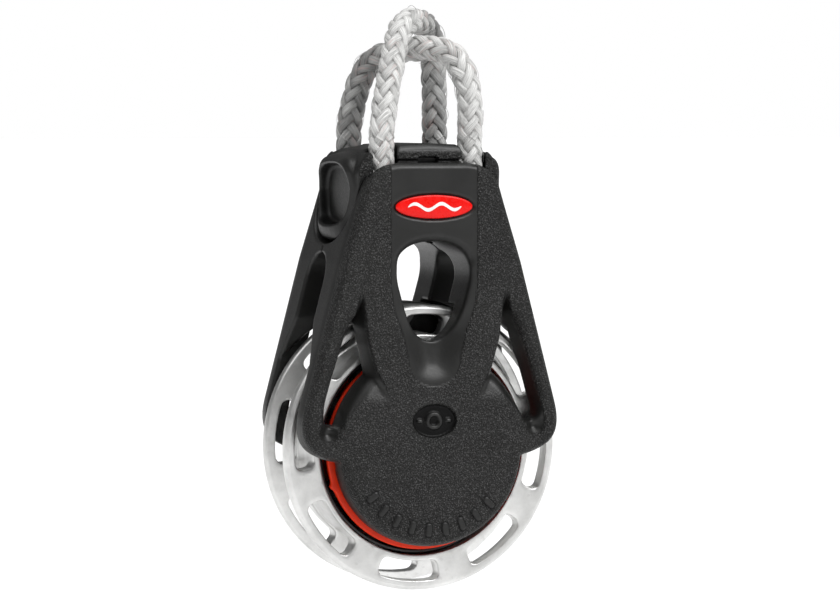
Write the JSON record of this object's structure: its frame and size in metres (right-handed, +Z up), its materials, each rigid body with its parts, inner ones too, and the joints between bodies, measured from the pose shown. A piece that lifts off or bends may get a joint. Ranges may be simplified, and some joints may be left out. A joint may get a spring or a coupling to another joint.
{
  "type": "single sheave block",
  "caption": "Small ball-bearing pulley block with two black nylon cheeks, a windowed metal sheave and a crossed soft rope link at its head.",
  "frame": {"origin": "the point under the crossing of the two rope loops, where the link bears on what holds it; the sheave's centre is 53.5 mm below", "axes": "+Z up towards the link, +Y along the sheave's axle from the front cheek to the rear cheek, +X to the right when facing the front cheek"},
  "size_m": [0.04, 0.0208, 0.0812],
  "materials": {
    "cheek_nylon": "pebbled glass-filled nylon with fine bright specks and smooth worked areas",
    "head_nylon": "satin moulded nylon",
    "saddle_alloy": "turned and tumbled",
    "sheave_alloy": "fine satin with light marks",
    "liner_black": "smooth matte",
    "cage_red": "smooth moulded, slightly glossy edge",
    "badge_red": "domed gloss with a thin pale rim",
    "ball_acetal": "polished acetal",
    "axle_steel": "ground",
    "rope_silver": "braided high-strength fibre, silver grey"
  },
  "bodies": {
    "link": {"link_loop_over": "rope_silver", "link_loop_under": "rope_silver"},
    "bights": {"rope_bight_left": "rope_silver", "rope_bight_right": "rope_silver"},
    "frame": {"cheek_front": "cheek_nylon", "cheek_rear": "cheek_nylon", "head_insert": "head_nylon", "rope_saddle": "saddle_alloy", "badge_front": "badge_red", "badge_rear": "badge_red", "hub_axle": "axle_steel", "inner_race": "axle_steel", "hub_dowel_1": "axle_steel", "hub_dowel_2": "axle_steel", "hub_dowel_3": "axle_steel", "head_dowel_left": "axle_steel", "head_dowel_right": "axle_steel"},
    "sheave": {"sheave": "sheave_alloy", "outer_race": "liner_black"},
    "ball_row_front": {"ball_cage_front": "cage_red", "ball_front_01": "ball_acetal", "ball_front_02": "ball_acetal", "ball_front_03": "ball_acetal", "ball_front_04": "ball_acetal", "ball_front_05": "ball_acetal", "ball_front_06": "ball_acetal", "ball_front_07": "ball_acetal", "ball_front_08": "ball_acetal", "ball_front_09": "ball_acetal", "ball_front_10": "ball_acetal", "ball_front_11": "ball_acetal", "ball_front_12": "ball_acetal", "ball_front_13": "ball_acetal", "ball_front_14": "ball_acetal"},
    "ball_row_rear": {"ball_cage_rear": "cage_red", "ball_rear_01": "ball_acetal", "ball_rear_02": "ball_acetal", "ball_rear_03": "ball_acetal", "ball_rear_04": "ball_acetal", "ball_rear_05": "ball_acetal", "ball_rear_06": "ball_acetal", "ball_rear_07": "ball_acetal", "ball_rear_08": "ball_acetal", "ball_rear_09": "ball_acetal", "ball_rear_10": "ball_acetal", "ball_rear_11": "ball_acetal", "ball_rear_12": "ball_acetal", "ball_rear_13": "ball_acetal", "ball_rear_14": "ball_acetal"}
  },
  "joints": [
    {"name": "link_tilt", "type": "hinge", "parent": "link", "child": "bights", "pos_m": [0, 0, -0.016], "axis": [0, 1, 0], "range_deg": [-15, 15], "deforming": ["link_loop_over", "link_loop_under"]},
    {"name": "head_swing", "type": "hinge", "parent": "bights", "child": "frame", "pos_m": [0, 0, -0.016], "axis": [1, 0, 0], "range_deg": [-20, 20], "deforming": ["rope_bight_left", "rope_bight_right"]},
    {"name": "sheave_spin", "type": "hinge", "parent": "frame", "child": "sheave", "pos_m": [0, 0, -0.0535], "axis": [0, 1, 0], "continuous": true},
    {"name": "front_row_roll", "type": "hinge", "parent": "frame", "child": "ball_row_front", "pos_m": [0, 0, -0.0535], "axis": [0, 1, 0], "continuous": true},
    {"name": "rear_row_roll", "type": "hinge", "parent": "frame", "child": "ball_row_rear", "pos_m": [0, 0, -0.0535], "axis": [0, 1, 0], "continuous": true}
  ],
  "couplings": [
    {"joint": "front_row_roll", "follows": "sheave_spin", "ratio": 0.5722},
    {"joint": "rear_row_roll", "follows": "sheave_spin", "ratio": 0.5722}
  ]
}
